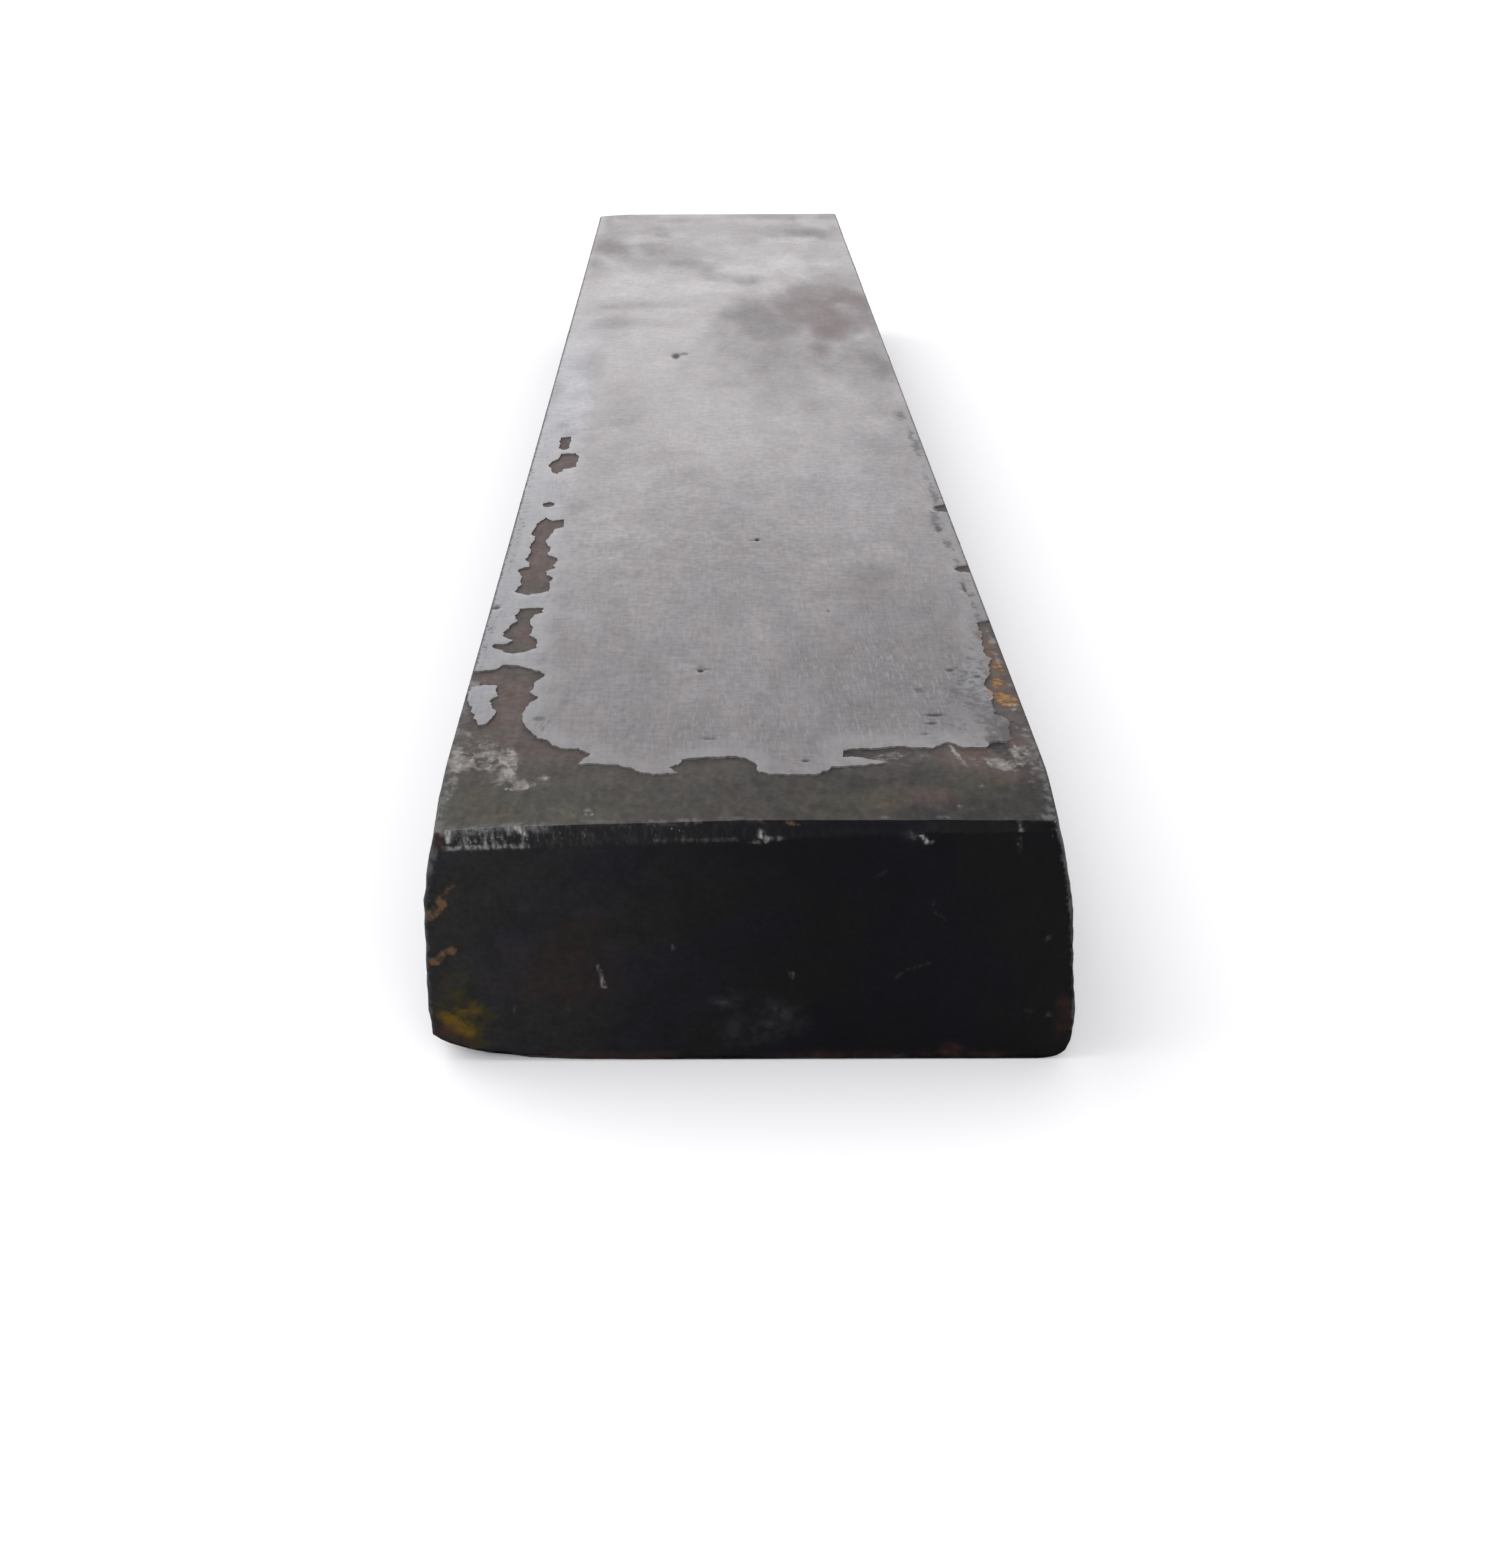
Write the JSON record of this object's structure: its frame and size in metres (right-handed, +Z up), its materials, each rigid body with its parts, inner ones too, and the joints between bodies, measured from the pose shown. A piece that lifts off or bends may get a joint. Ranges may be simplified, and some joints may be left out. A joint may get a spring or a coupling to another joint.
{
  "type": "sharpening whetstone",
  "caption": "Long rectangular bench whetstone of dark slate with a thin pale honing layer on top, flaked along one margin and the front end.",
  "frame": {"origin": "centre of the base of the stone's bounding box", "axes": "+X across the stone, +Y along it from the flaked front end to the rear end, +Z up out of the honing face"},
  "size_m": [0.0546, 0.25, 0.025],
  "materials": {
    "dark_slate": "dressed",
    "pale_stone": "honed"
  },
  "bodies": {
    "root": {"slate_body": "dark_slate", "honing_layer": "pale_stone", "edge_remnant": "pale_stone"}
  },
  "joints": []
}
